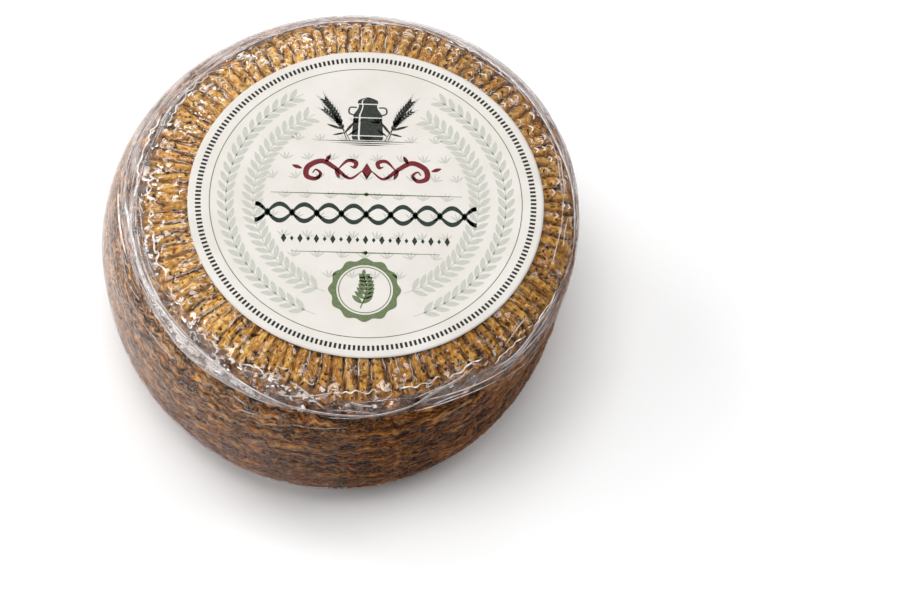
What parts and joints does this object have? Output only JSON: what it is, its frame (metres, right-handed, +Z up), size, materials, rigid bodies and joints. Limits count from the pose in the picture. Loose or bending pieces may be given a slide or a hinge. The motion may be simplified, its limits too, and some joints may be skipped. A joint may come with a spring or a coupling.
{
  "type": "cured cheese wheel in clear film",
  "caption": "Whole cured cheese lying flat in tight clear film, with a ribbed face, a plaited side and a round paper label on top.",
  "frame": {"origin": "centre of the model's box in plan, on the surface that the wheel lies on", "axes": "+Z up along the wheel's axis, the label on top; -Y towards the viewer of the picture, +X to the right"},
  "size_m": [0.1988, 0.2028, 0.09],
  "materials": {
    "film_over_rind": "golden brown moulded rind under tight clear glossy film",
    "label_paper": "off-white printed paper with a faint sheen"
  },
  "bodies": {
    "root": {"wheel": "film_over_rind", "label": "label_paper"}
  },
  "joints": []
}
